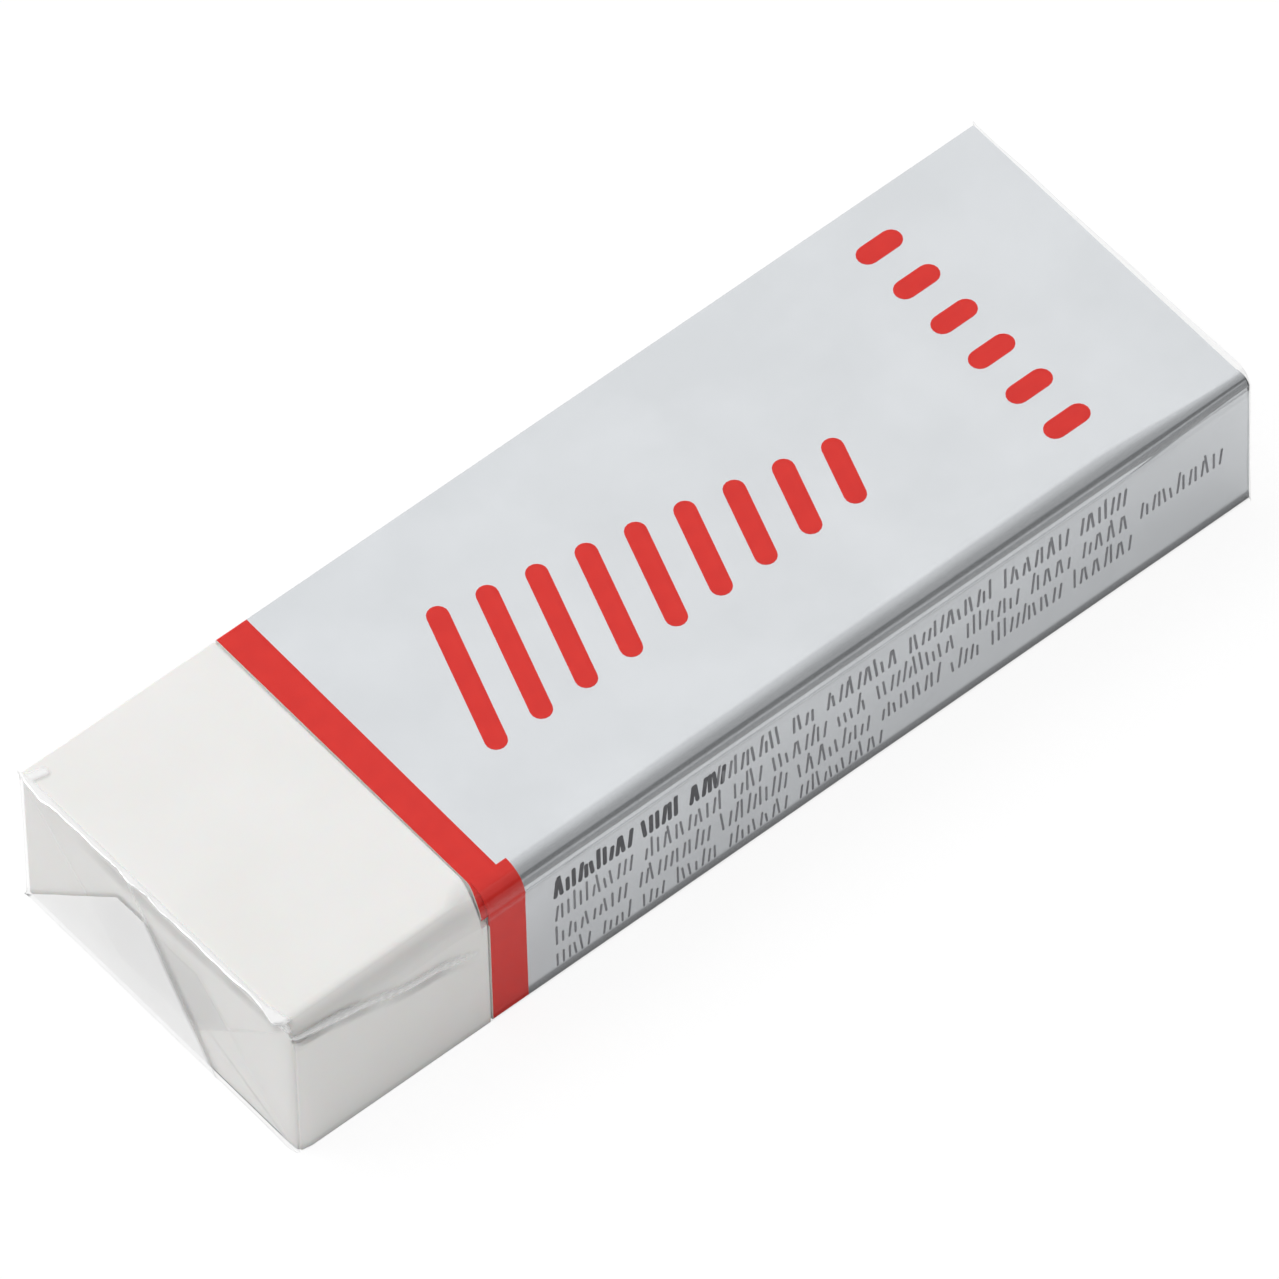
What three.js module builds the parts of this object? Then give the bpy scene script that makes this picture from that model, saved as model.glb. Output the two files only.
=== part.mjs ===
// Plastic eraser: a soft white vinyl block in a printed silver card sleeve, wrapped in clear film.
// Millimetres, +Z up. X runs along the eraser, and its bare white end is the one towards -X.
// Y runs across it, and the side where the card and the film lap over themselves is towards -Y.
// The origin is on the surface that the eraser lies on, under the middle of the wrapped eraser.

import * as THREE from 'three';

// Eraser block
const BLOCK_LENGTH = 64.8;
const BLOCK_WIDTH = 21.5;
const BLOCK_HEIGHT = 10;
const ROUNDED_EDGE_RADIUS = 1.7; // the upper long edge on the lap side
const LONG_EDGE_RADIUS = 0.4; // the three other long edges
const END_EDGE_RADIUS = 0.3;
const LEAST_CORNER_RADIUS = 0.05; // left of a long edge's radius where an end edge is rounded off

// Card sleeve
const CARD_THICKNESS = 0.15;
const SLEEVE_CLEARANCE = 0.08; // from the block to the card
const BARE_LENGTH = 13; // block that the sleeve leaves bare at its open end
const SLEEVE_SETBACK = 0.2; // from the sleeve to the block's other end
const SLEEVE_SKEW = 0.7; // how far the card's ends run out of square across its top
const CARD_LAP_DROP = 0.1; // inner card edge, below the foot of the rounded edge
const CARD_LAP_STOP = THREE.MathUtils.degToRad(8); // outer card edge, round from straight up

// Glue line in the card's lap
const GLUE_THICKNESS = 0.04;
const GLUE_CLEARANCE = 0.015; // to the card on either side
const GLUE_MARGIN = 1; // bare card beyond each end of the glue line
const GLUE_EDGE_MARGIN = 0.15; // bare card between the glue and either edge of the card

// Clear film
const FILM_THICKNESS = 0.06;
const FILM_CLEARANCE = 0.06; // from the card to the film
const FILM_LAP_GAP = 0.03;
const FILM_LAP_DROP = 0.3; // inner film edge, below the foot of the rounded edge
const FILM_LAP_STOP = THREE.MathUtils.degToRad(18); // outer film edge, round from straight up
const FILM_END_CLEARANCE = 0.04; // from the block's ends to the ends of the film's walls
const FOLD_GAP = 0.04; // between one folded layer of film and the next
const FLAP_DEPTH = 7.2; // upper and lower end flaps, from crease to free edge

// Step that lifts the outer layer of a lap over the inner one
const JOGGLE_LENGTH = 0.8;
const JOGGLE_CLEARANCE = 0.1; // from the inner layer's edge to the top of the step

// Arcs are drawn in straight steps
const ROUNDED_EDGE_STEPS = 8;
const LONG_EDGE_STEPS = 3;
const END_EDGE_STEPS = 2;

// Layers outside the block, each counted from the block's surface
const CARD_LAP_LIFT = CARD_THICKNESS + GLUE_THICKNESS + 2 * GLUE_CLEARANCE;
const FILM_LAP_LIFT = FILM_THICKNESS + FILM_LAP_GAP;
const CARD_OFFSET = SLEEVE_CLEARANCE;
const FILM_OFFSET = CARD_OFFSET + CARD_THICKNESS + FILM_CLEARANCE;
const PLAIN_STACK = FILM_OFFSET + FILM_THICKNESS;
const LAP_STACK = PLAIN_STACK + CARD_LAP_LIFT + FILM_LAP_LIFT;

// The block lies on one plain stack of layers. It is moved across so that the lap's extra
// layers leave the wrapped eraser centred on the origin.
const BLOCK_BOTTOM = PLAIN_STACK;
const BLOCK_TOP = BLOCK_BOTTOM + BLOCK_HEIGHT;
const BLOCK_CENTRE_Y = (LAP_STACK - PLAIN_STACK) / 2;
const BLOCK_NEAR = BLOCK_CENTRE_Y - BLOCK_WIDTH / 2;
const BLOCK_FAR = BLOCK_CENTRE_Y + BLOCK_WIDTH / 2;
const BLOCK_LEFT = -BLOCK_LENGTH / 2;
const BLOCK_RIGHT = BLOCK_LENGTH / 2;

// Where the sleeve's ends lie, but for the skew across its top
const SLEEVE_LEFT = BLOCK_LEFT + BARE_LENGTH;
const SLEEVE_RIGHT = BLOCK_RIGHT - SLEEVE_SETBACK;

const HALF_TURN = Math.PI;
const QUARTER_TURN = Math.PI / 2;
const EIGHTH_TURN = Math.PI / 4;

// The block's four long edges, seen along X with Y to the right. Each turns clockwise from
// `from` to `to`, in the order in which the card and the film go round.
const nearTopEdge = {
  y: BLOCK_NEAR + ROUNDED_EDGE_RADIUS,
  z: BLOCK_TOP - ROUNDED_EDGE_RADIUS,
  radius: ROUNDED_EDGE_RADIUS,
  from: HALF_TURN,
  to: QUARTER_TURN,
  steps: ROUNDED_EDGE_STEPS,
};
const farTopEdge = {
  y: BLOCK_FAR - LONG_EDGE_RADIUS,
  z: BLOCK_TOP - LONG_EDGE_RADIUS,
  radius: LONG_EDGE_RADIUS,
  from: QUARTER_TURN,
  to: 0,
  steps: LONG_EDGE_STEPS,
};
const farBottomEdge = {
  y: BLOCK_FAR - LONG_EDGE_RADIUS,
  z: BLOCK_BOTTOM + LONG_EDGE_RADIUS,
  radius: LONG_EDGE_RADIUS,
  from: 0,
  to: -QUARTER_TURN,
  steps: LONG_EDGE_STEPS,
};
const nearBottomEdge = {
  y: BLOCK_NEAR + LONG_EDGE_RADIUS,
  z: BLOCK_BOTTOM + LONG_EDGE_RADIUS,
  radius: LONG_EDGE_RADIUS,
  from: -QUARTER_TURN,
  to: -HALF_TURN,
  steps: LONG_EDGE_STEPS,
};

// A station is a place on the block's outline with the direction that points away from the
// block there. `lift` says how far the sheet stands off for the layers underneath it.
// A station may also say how far the sheet's ends are out of square there, as `shift`.
function stationOnSide(z, lift) {
  return { y: BLOCK_NEAR, z, outY: -1, outZ: 0, lift };
}

function stationsOnEdge(edge, liftAt, to = edge.to) {
  const stations = [];
  for (let step = 0; step <= edge.steps; step += 1) {
    const angle = THREE.MathUtils.lerp(edge.from, to, step / edge.steps);
    const outY = Math.cos(angle);
    const outZ = Math.sin(angle);
    stations.push({
      y: edge.y + edge.radius * outY,
      z: edge.z + edge.radius * outZ,
      outY,
      outZ,
      lift: liftAt(angle),
    });
  }
  return stations;
}

function pointAt(station, offset) {
  const distance = offset + station.lift;
  return [station.y + distance * station.outY, station.z + distance * station.outZ];
}

// A sheet of even thickness bent along its stations
function bentSheet(stations, { offset, thickness, left, right }) {
  const positions = [];
  for (const station of stations) {
    const { shift = 0 } = station;
    const inner = pointAt(station, offset);
    const outer = pointAt(station, offset + thickness);
    positions.push(left + shift, ...inner);
    positions.push(left + shift, ...outer);
    positions.push(right + shift, ...outer);
    positions.push(right + shift, ...inner);
  }

  const indices = [];
  const addQuad = (a, b, c, d) => indices.push(a, b, c, a, c, d);
  const lastRing = 4 * (stations.length - 1);
  for (let ring = 0; ring < lastRing; ring += 4) {
    for (let side = 0; side < 4; side += 1) {
      const next = (side + 1) % 4;
      addQuad(ring + side, ring + next, ring + 4 + next, ring + 4 + side);
    }
  }
  addQuad(3, 2, 1, 0);
  addQuad(lastRing, lastRing + 1, lastRing + 2, lastRing + 3);

  const geometry = new THREE.BufferGeometry();
  geometry.setAttribute('position', new THREE.Float32BufferAttribute(positions, 3));
  geometry.setIndex(indices);
  geometry.computeVertexNormals();
  return geometry;
}

// Stations once round the block and over the first layer again. `under` is the lift of
// what the sheet covers on the lap side, `step` the lift of its own outer layer. The sheet is
// taut, so it comes down from that lift evenly across the top, and round the lower edge.
function lappedStations({ lapDrop, lapStop, step, under }) {
  const innerEdgeZ = nearTopEdge.z - lapDrop;
  const joggleTopZ = innerEdgeZ - JOGGLE_CLEARANCE;
  const noLift = () => 0;
  const innerLift = () => under;
  const outerLift = () => under + step;
  const liftUnderEdge = (angle) => under * (-QUARTER_TURN - angle) / QUARTER_TURN;
  return [
    stationOnSide(innerEdgeZ, under),
    ...stationsOnEdge(nearTopEdge, innerLift),
    ...stationsOnEdge(farTopEdge, noLift),
    ...stationsOnEdge(farBottomEdge, noLift),
    ...stationsOnEdge(nearBottomEdge, liftUnderEdge),
    stationOnSide(joggleTopZ - JOGGLE_LENGTH, under),
    stationOnSide(joggleTopZ, under + step),
    ...stationsOnEdge(nearTopEdge, outerLift, QUARTER_TURN + lapStop),
  ];
}

// Puts a sheet's ends out of square by `skew` from its inner edge across the top. From the
// far top edge on they are square.
function skewedAcrossTop(stations, skew) {
  const width = farTopEdge.y - stations[0].y;
  const squareFrom = stations.findIndex((station) => station.y >= farTopEdge.y);
  return stations.map((station, i) => {
    const toGo = i < squareFrom ? (farTopEdge.y - station.y) / width : 0;
    return { ...station, shift: -skew * toGo };
  });
}

// Turns a shape drawn across the eraser, extruded along its own Z, to run along X
function alongX(geometry) {
  const across = new THREE.Vector3(0, 1, 0);
  const up = new THREE.Vector3(0, 0, 1);
  const along = new THREE.Vector3(1, 0, 0);
  return geometry.applyMatrix4(new THREE.Matrix4().makeBasis(across, up, along));
}

function shapeFrom(points) {
  return new THREE.Shape(points.map(([y, z]) => new THREE.Vector2(y, z)));
}

function mesh(name, geometry, material) {
  const part = new THREE.Mesh(geometry, material);
  part.name = name;
  return part;
}

// Materials
const whiteVinyl = new THREE.MeshStandardMaterial({ color: 0xeeeee9, roughness: 0.7, metalness: 0 });
const silverCard = new THREE.MeshStandardMaterial({ color: 0xcdd2d6, roughness: 0.35, metalness: 0.5 });
const paleGlue = new THREE.MeshStandardMaterial({ color: 0xe9e2c6, roughness: 0.4, metalness: 0 });
const clearFilm = new THREE.MeshStandardMaterial({
  color: 0xf2f5f6,
  roughness: 0.08,
  metalness: 0,
  transparent: true,
  opacity: 0.3,
});

// Block, with its end edges rounded off inside its outline
function eraserBlock() {
  const plain = () => 0;
  const corners = [nearTopEdge, farTopEdge, farBottomEdge, nearBottomEdge];
  const outline = corners.flatMap((edge) => stationsOnEdge(edge, plain));
  const rounding = Math.min(END_EDGE_RADIUS, LONG_EDGE_RADIUS - LEAST_CORNER_RADIUS);
  const geometry = new THREE.ExtrudeGeometry(shapeFrom(outline.map((station) => pointAt(station, 0))), {
    depth: BLOCK_LENGTH - 2 * rounding,
    bevelEnabled: true,
    bevelThickness: rounding,
    bevelSize: rounding,
    bevelOffset: -rounding,
    bevelSegments: END_EDGE_STEPS,
  });
  const block = mesh('eraser_block', alongX(geometry), whiteVinyl);
  block.position.x = BLOCK_LEFT + rounding;
  return block;
}

// Sleeve, glued where the card laps over itself
function cardSleeve() {
  const stations = lappedStations({
    lapDrop: CARD_LAP_DROP,
    lapStop: CARD_LAP_STOP,
    step: CARD_LAP_LIFT,
    under: 0,
  });
  const geometry = bentSheet(skewedAcrossTop(stations, SLEEVE_SKEW), {
    offset: CARD_OFFSET,
    thickness: CARD_THICKNESS,
    left: SLEEVE_LEFT,
    right: SLEEVE_RIGHT,
  });
  return mesh('card_sleeve', geometry, silverCard);
}

function sleeveGlueLine() {
  const plain = () => 0;
  const marginAngle = GLUE_EDGE_MARGIN / ROUNDED_EDGE_RADIUS;
  const upperStop = QUARTER_TURN + CARD_LAP_STOP + marginAngle;
  const lowerEdge = { ...nearTopEdge, from: HALF_TURN - marginAngle };
  const stations = stationsOnEdge(lowerEdge, plain, upperStop);
  const geometry = bentSheet(stations, {
    offset: CARD_OFFSET + CARD_THICKNESS + GLUE_CLEARANCE,
    thickness: GLUE_THICKNESS,
    left: SLEEVE_LEFT + GLUE_MARGIN,
    right: SLEEVE_RIGHT - SLEEVE_SKEW - GLUE_MARGIN,
  });
  return mesh('sleeve_glue_line', geometry, paleGlue);
}

// Film round the four long sides, from end to end
function filmWrap() {
  const stations = lappedStations({
    lapDrop: FILM_LAP_DROP,
    lapStop: FILM_LAP_STOP,
    step: FILM_LAP_LIFT,
    under: CARD_LAP_LIFT,
  });
  const geometry = bentSheet(stations, {
    offset: FILM_OFFSET,
    thickness: FILM_THICKNESS,
    left: BLOCK_LEFT - FILM_END_CLEARANCE,
    right: BLOCK_RIGHT + FILM_END_CLEARANCE,
  });
  return mesh('film_wrap', geometry, clearFilm);
}

// Outline of the film's ends, which the four folds of each end close
const FILM_NEAR = BLOCK_NEAR - LAP_STACK;
const FILM_FAR = BLOCK_FAR + PLAIN_STACK;
const FILM_TOP = BLOCK_TOP + PLAIN_STACK;

// The rounded corner of that outline, from `from` to `to`
function roundedCornerPoints(from, to) {
  const corner = { ...nearTopEdge, from, steps: ROUNDED_EDGE_STEPS / 2 };
  return stationsOnEdge(corner, () => 0, to).map((station) => pointAt(station, LAP_STACK));
}

// The four folds' outlines. Their slanted edges run at 45 degrees from the corners, as in
// any end that is closed by tucking in the sides first.
const lowerArc = roundedCornerPoints(HALF_TURN, HALF_TURN - EIGHTH_TURN);
const upperArc = roundedCornerPoints(QUARTER_TURN, QUARTER_TURN + EIGHTH_TURN);
const [cornerY, cornerZ] = lowerArc.at(-1);
const topFlapFoot = FILM_TOP - FLAP_DEPTH;
const nearTuckDepth = (cornerY + cornerZ - FILM_NEAR) / 2;
const bottomFlapOutline = [
  [FILM_NEAR, 0],
  [FILM_FAR, 0],
  [FILM_FAR - FLAP_DEPTH, FLAP_DEPTH],
  [FILM_NEAR + FLAP_DEPTH, FLAP_DEPTH],
];
const topFlapOutline = [
  [FILM_FAR, FILM_TOP],
  ...upperArc,
  [cornerY + cornerZ - topFlapFoot, topFlapFoot],
  [FILM_FAR - FLAP_DEPTH, topFlapFoot],
];
const nearTuckOutline = [
  [FILM_NEAR, 0],
  [FILM_NEAR + nearTuckDepth, nearTuckDepth],
  ...lowerArc.toReversed(),
];
const farTuckOutline = [
  [FILM_FAR, 0],
  [FILM_FAR, FILM_TOP],
  [FILM_FAR - FILM_TOP / 2, FILM_TOP / 2],
];

// Folds of one end, from the block outwards. `side` is -1 for the bare end, 1 for the other.
function endFolds(endName, side) {
  const layers = [
    { part: 'near_tuck', outline: nearTuckOutline, layer: 0 },
    { part: 'far_tuck', outline: farTuckOutline, layer: 0 },
    { part: 'top_flap', outline: topFlapOutline, layer: 1 },
    { part: 'bottom_flap', outline: bottomFlapOutline, layer: 2 },
  ];
  const folds = new THREE.Group();
  for (const { part, outline, layer } of layers) {
    const geometry = new THREE.ExtrudeGeometry(shapeFrom(outline), {
      depth: FILM_THICKNESS,
      bevelEnabled: false,
    });
    const fold = mesh(`${endName}_${part}`, alongX(geometry), clearFilm);
    const fromEnd = FILM_END_CLEARANCE + FOLD_GAP + layer * (FILM_THICKNESS + FOLD_GAP);
    const innerFace = side * (BLOCK_LENGTH / 2 + fromEnd);
    fold.position.x = side > 0 ? innerFace : innerFace - FILM_THICKNESS;
    folds.add(fold);
  }
  return folds;
}

const eraser = new THREE.Group();
eraser.add(eraserBlock());
eraser.add(cardSleeve());
eraser.add(sleeveGlueLine());
eraser.add(filmWrap());
eraser.add(endFolds('bare_end', -1));
eraser.add(endFolds('sleeve_end', 1));

export default eraser;
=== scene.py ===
from collections import namedtuple
from math import atan2, cos, hypot, inf, pi, radians, sin
from random import Random

import bpy
from mathutils import Matrix, Vector, noise


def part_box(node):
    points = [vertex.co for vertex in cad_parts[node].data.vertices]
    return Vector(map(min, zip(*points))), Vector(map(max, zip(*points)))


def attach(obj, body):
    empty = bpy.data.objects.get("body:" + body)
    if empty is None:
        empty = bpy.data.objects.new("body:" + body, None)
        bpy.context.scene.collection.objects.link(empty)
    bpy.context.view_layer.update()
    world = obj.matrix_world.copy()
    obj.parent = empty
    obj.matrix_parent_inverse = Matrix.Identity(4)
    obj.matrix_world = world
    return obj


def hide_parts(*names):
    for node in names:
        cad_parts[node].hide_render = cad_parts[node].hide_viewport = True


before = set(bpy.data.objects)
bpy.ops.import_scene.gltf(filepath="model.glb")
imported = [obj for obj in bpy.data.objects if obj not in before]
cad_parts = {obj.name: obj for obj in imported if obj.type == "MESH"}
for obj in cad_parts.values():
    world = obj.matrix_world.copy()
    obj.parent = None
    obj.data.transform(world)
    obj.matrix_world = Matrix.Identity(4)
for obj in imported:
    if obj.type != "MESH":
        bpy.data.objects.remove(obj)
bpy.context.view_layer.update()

# Plastic eraser: a white vinyl block in a printed silver card sleeve, wrapped in clear film.
# Sizes are in millimetres, and meshes are turned to metres when they are made.
MM = 0.001

# Camera, where the photograph was taken from
PHOTO_SIDE = 1279  # pixels
PIXELS_PER_MM = 19.02  # at the camera's distance
CAMERA_DISTANCE = 1400
CAMERA_AZIMUTH = radians(-38.62)
CAMERA_ELEVATION = radians(53.38)
CAMERA_ROLL = radians(-1.75)
AIM_RIGHT = -0.12  # from the origin to what the camera aims at, across its picture
AIM_UP = 2.96
SENSOR_WIDTH = 36


def put(name, data):
    thing = bpy.data.objects.new(name, data)
    bpy.context.scene.collection.objects.link(thing)
    return thing


def place_camera():
    toward_camera = Vector((
        sin(CAMERA_AZIMUTH) * cos(CAMERA_ELEVATION),
        -cos(CAMERA_AZIMUTH) * cos(CAMERA_ELEVATION),
        sin(CAMERA_ELEVATION),
    ))
    level_right = Vector((cos(CAMERA_AZIMUTH), sin(CAMERA_AZIMUTH), 0))
    level_up = toward_camera.cross(level_right)
    right = cos(CAMERA_ROLL) * level_right + sin(CAMERA_ROLL) * level_up
    up = cos(CAMERA_ROLL) * level_up - sin(CAMERA_ROLL) * level_right

    data = bpy.data.cameras.new("camera")
    data.sensor_width = SENSOR_WIDTH
    data.lens = SENSOR_WIDTH * CAMERA_DISTANCE * PIXELS_PER_MM / PHOTO_SIDE
    data.clip_end = 10
    camera = put("camera", data)
    aim = AIM_RIGHT * right + AIM_UP * up
    axes = Matrix((right, up, toward_camera)).transposed().to_4x4()
    camera.matrix_world = Matrix.Translation((aim + CAMERA_DISTANCE * toward_camera) * MM) @ axes
    bpy.context.scene.camera = camera


place_camera()


# Sizes that the frame gives
def box_mm(node):
    low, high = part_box(node)
    return [c / MM for c in low], [c / MM for c in high]


(BLOCK_LEFT, BLOCK_NEAR, BLOCK_BOTTOM), (BLOCK_RIGHT, BLOCK_FAR, BLOCK_TOP) = box_mm("eraser_block")
(_, FILM_NEAR, _), (_, FILM_FAR, FILM_RIDGE) = box_mm("film_wrap")
(CARD_INNER_LEFT, _, _), (CARD_RIGHT, _, _) = box_mm("card_sleeve")
(WRAP_LEFT, _, _), _ = box_mm("bare_end_bottom_flap")
_, (WRAP_RIGHT, _, _) = box_mm("sleeve_end_bottom_flap")

# Sizes as in the model's source
ROUNDED_EDGE_RADIUS = 1.7
CARD_THICKNESS = 0.15
CARD_LAP_LIFT = 0.22
CARD_LAP_DROP = 0.1
CARD_LAP_STOP = radians(8)
CARD_SKEW = 0.7
FILM_LAP_LIFT = 0.09
FILM_LAP_DROP = 0.3
FILM_LAP_STOP = radians(18)
JOGGLE_CLEARANCE = 0.1
LAP_STACK = 0.66
PLAIN_STACK = 0.35

# Sizes of the real thing, where the source's stand-ins are blunter, thicker or further apart
LONG_EDGE_RADIUS = 0.12
CARD_OFFSET = 0.14
CARD_JOGGLE = 0.5
CARD_SIDE_LIFT = 0.2  # the card's near side runs straight down from its lap
FILM_THICKNESS = 0.03
FILM_OFFSET = PLAIN_STACK - FILM_THICKNESS
FILM_JOGGLE = 0.4
FLAP_DEPTH = 8

HALF_TURN = pi
QUARTER_TURN = pi / 2
EIGHTH_TURN = pi / 4


def part_way(a, b, share):
    return a + (b - a) * share


def gap(a, b):
    """The distance between two points or two stations across the eraser."""
    return hypot(b[0] - a[0], b[1] - a[1])


def between(value, low, high):
    """0 below the low value, 1 above the high one, and smoothly from one to the other."""
    share = min(1, max(0, (value - low) / (high - low)))
    return share * share * (3 - 2 * share)


def within(value, start, end):
    """1 from a place to another and 0 elsewhere, with a smooth start and a smooth end."""
    return between(value, *start) * (1 - between(value, *end))


def drift(layer, x, length, y=0, width=1):
    """A smooth random value from -1 to 1 that changes over this length and this width. Each
    layer gives another one."""
    return noise.noise(Vector((x / length, y / width, layer)))


# The block's outline

Edge = namedtuple("Edge", "y z radius start end steps")


def long_edge(out_y, out_z, radius, start, steps):
    """The block's rounded edge on one side and above or below, from where its arc starts."""
    y = (BLOCK_FAR if out_y > 0 else BLOCK_NEAR) - out_y * radius
    z = (BLOCK_TOP if out_z > 0 else BLOCK_BOTTOM) - out_z * radius
    return Edge(y, z, radius, start, start - QUARTER_TURN, steps)


NEAR_TOP = long_edge(-1, 1, ROUNDED_EDGE_RADIUS, HALF_TURN, 56)
FAR_TOP = long_edge(1, 1, LONG_EDGE_RADIUS, QUARTER_TURN, 8)
FAR_BOTTOM = long_edge(1, -1, LONG_EDGE_RADIUS, 0, 8)
NEAR_BOTTOM = long_edge(-1, -1, LONG_EDGE_RADIUS, -QUARTER_TURN, 8)

# A station is a place on the block's outline, with the way out of the block there, how far a
# sheet is lifted off by what lies under it, and how far the outline has run from the foot of
# the rounded edge.
Station = namedtuple("Station", "y z out_y out_z lift run")
ON_FLAT = 0.9  # how much of its way out points to one side, on that side's flat
MOSTLY = 0.5  # and on the rounded edge beside it


def on_flat_top(station):
    return station.out_z > ON_FLAT


def across_top(station):
    """0 at the far side and 1 at the near side."""
    return (FAR_TOP.y - station.y) / (FAR_TOP.y - BLOCK_NEAR)


def station_on_side(z, lift):
    return Station(BLOCK_NEAR, z, -1, 0, lift, 0)


def even_steps(first, last, steps):
    return [first + (last - first) * step / steps for step in range(steps + 1)]


def stations_on_edge(edge, lift=0, last_lift=None):
    lifts = even_steps(lift, lift if last_lift is None else last_lift, edge.steps)
    stations = []
    for angle, lift in zip(even_steps(edge.start, edge.end, edge.steps), lifts):
        out_y, out_z = cos(angle), sin(angle)
        y, z = edge.y + edge.radius * out_y, edge.z + edge.radius * out_z
        stations.append(Station(y, z, out_y, out_z, lift, 0))
    return stations


def round_off(radius, first, last, steps, bead=0):
    """Places round a small edge, from one angle to another: how far each lies in from one face
    and from the other. A bead stands proud of both."""
    return [
        (radius * (1 - sin(angle)) - bead * sin(2 * angle),
         radius * (1 - cos(angle)) - bead * sin(2 * angle))
        for angle in even_steps(first, last, steps)
    ]


def fill_gaps(stations, spacing):
    """Adds stations between those that lie further apart than `spacing(before, after)`."""
    filled = [stations[0]]
    for before, after in zip(stations, stations[1:]):
        parts = max(1, round(gap(before, after) / spacing(before, after)))
        for part in range(1, parts + 1):
            filled.append(Station(*(part_way(a, b, part / parts) for a, b in zip(before, after))))
    return filled


def block_outline():
    edges = (NEAR_TOP, FAR_TOP, FAR_BOTTOM, NEAR_BOTTOM)
    return [station for edge in edges for station in stations_on_edge(edge)]


def girth():
    ring = block_outline()
    return sum(gap(a, b) for a, b in zip(ring, ring[1:] + ring[:1]))


GIRTH = girth()
JOGGLE_STEPS = 8


def with_runs(stations, first_run):
    """Says how far each station has run, from -GIRTH / 2 to GIRTH / 2."""
    run = first_run
    done = []
    for before, station in zip(stations[:1] + stations, stations):
        run += gap(before, station)
        done.append(station._replace(run=(run + GIRTH / 2) % GIRTH - GIRTH / 2))
    return done


def lapped_stations(lap_drop, lap_stop, under, step, side_lift, joggle, spacing):
    """Once round the block and over the first layer again, as in the model's source. The
    near side below the lap is lifted off the block by `side_lift`."""
    inner_edge = NEAR_TOP.z - lap_drop
    joggle_top = inner_edge - JOGGLE_CLEARANCE
    stations = [
        station_on_side(inner_edge, under),
        *stations_on_edge(NEAR_TOP, under),
        *stations_on_edge(FAR_TOP),
        *stations_on_edge(FAR_BOTTOM),
        *stations_on_edge(NEAR_BOTTOM, 0, side_lift),
    ]
    for i in range(JOGGLE_STEPS):
        lift = part_way(side_lift, under + step, between(i, 0, JOGGLE_STEPS))
        stations.append(station_on_side(joggle_top - joggle * (1 - i / JOGGLE_STEPS), lift))
    stations.append(station_on_side(joggle_top, under + step))
    stations += stations_on_edge(NEAR_TOP._replace(end=QUARTER_TURN + lap_stop), under + step)
    return with_runs(fill_gaps(stations, lambda before, after: spacing), -lap_drop)


# The real eraser's departures from its straight form. Every piece is bent by the same rules,
# each with its own sharpness of the rounded edge, so that the layers stay inside each other.
Corner = namedtuple("Corner", "y z out_y out_z radius reach")
ROUNDED_CORNER = Corner(NEAR_TOP.y, NEAR_TOP.z, -1, 1, ROUNDED_EDGE_RADIUS, 3.0)
SHARP_CORNERS = [
    Corner(edge.y, edge.z, out_y, out_z, 0.4, 1.2)
    for edge, out_y, out_z in ((FAR_TOP, 1, 1), (FAR_BOTTOM, 1, -1), (NEAR_BOTTOM, -1, -1))
]
SHARP_CORNER_TAKEN = 0.28  # what the long edges' radius gets smaller by

FILM_EDGE_TAKEN = 1.35  # the same for the rounded edge
SLEEVE_EDGE_TAKEN = 0.45
SLEEVE_EDGE_TAKEN_AT_END = 1.3
SLEEVE_END_LENGTH = 10.5
BARE_EDGE_TAKEN = 1.15

BARE_FADE = (1.6, 0.1)  # from the card's edge: where the bare end's form fades and is gone
BARE_LEAN = 0.25  # the near side of the bare end leans in above the film's crease
CREASE_Z_LEFT = 9.0  # the height of that crease at the left end, and at the band
CREASE_Z_BAND = 6.5
CORNER_RADIUS = 0.9  # soft upright corner at the bare end, on the near side
CORNER_TOP_RADIUS = 0.3
CORNER_TOP_START = 9.0


def bareness(x):
    return 1 - between(x, *(CARD_INNER_LEFT - before for before in BARE_FADE))


def film_edge_taken(x):
    return FILM_EDGE_TAKEN


def sleeve_edge_taken(x):
    """The sleeve's rounded edge gets sharper towards the closed end."""
    to_end = between(x, WRAP_RIGHT - SLEEVE_END_LENGTH, WRAP_RIGHT)
    return part_way(SLEEVE_EDGE_TAKEN, SLEEVE_EDGE_TAKEN_AT_END, to_end)


def vinyl_edge_taken(x):
    """The vinyl fills the film at its bare end, and stays round inside the sleeve."""
    return BARE_EDGE_TAKEN * bareness(x)


def crease_height(x):
    share = (x - WRAP_LEFT) / (CARD_INNER_LEFT - WRAP_LEFT)
    return part_way(CREASE_Z_LEFT, CREASE_Z_BAND, min(1, share))


def sharpen(corner, taken, y, z):
    """Moves a point near a round corner so that the corner's radius gets smaller."""
    over_y = (y - corner.y) * corner.out_y
    over_z = (z - corner.z) * corner.out_z
    if over_y <= 0 and over_z <= 0:
        return y, z
    over = hypot(max(0, over_y), max(0, over_z))
    share = taken * min(1, over / corner.radius)
    share *= max(0, 1 + min(0, over_y, over_z) / corner.reach)
    return (
        y + corner.out_y * share * (1 - max(0, over_y) / over),
        z + corner.out_z * share * (1 - max(0, over_z) / over),
    )


def lean_bare_side(x, y, z):
    crease = crease_height(x)
    above = max(0, z - crease) / (FILM_RIDGE - crease)
    near = min(1, max(0, (NEAR_TOP.y - y) / NEAR_TOP.radius))
    return y + BARE_LEAN * bareness(x) * above * near


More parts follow.
